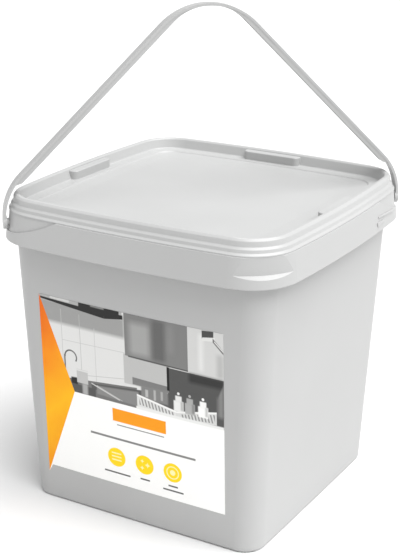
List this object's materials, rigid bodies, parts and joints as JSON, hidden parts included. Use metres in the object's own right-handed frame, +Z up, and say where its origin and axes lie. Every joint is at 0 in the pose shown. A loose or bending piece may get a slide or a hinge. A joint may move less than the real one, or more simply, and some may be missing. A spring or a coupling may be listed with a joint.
{
  "type": "dishwasher tablet tub",
  "caption": "Square tapered plastic tub with a press-on stepped lid, a swinging strap handle on its corners and a plain in-mould label.",
  "frame": {"origin": "middle of the base ring that the tub stands on", "axes": "+Z up; the label faces -Y; the handle pivots on the diagonal through +X+Y and -X-Y and stands upright at rest"},
  "size_m": [0.206, 0.206, 0.3192],
  "materials": {
    "tub_plastic": "injection-moulded pale grey polypropylene, satin",
    "lid_plastic": "injection-moulded pale grey polypropylene, satin",
    "handle_plastic": "injection-moulded pale grey polypropylene, satin",
    "label_film": "printed in-mould label film, smooth, with plain fields of colour"
  },
  "bodies": {
    "tub": {"tub": "tub_plastic", "label": "label_film"},
    "lid": {"lid": "lid_plastic"},
    "handle": {"handle": "handle_plastic"}
  },
  "joints": [
    {"name": "handle_swing", "type": "hinge", "parent": "tub", "child": "handle", "pos_m": [0, 0, 0.188], "axis": [0.7071, 0.7071, 0], "range_deg": [-75, 75]},
    {"name": "lid_lift", "type": "slide", "parent": "tub", "child": "lid", "axis": [0, 0, 1], "range_m": [0, 0.003]}
  ]
}
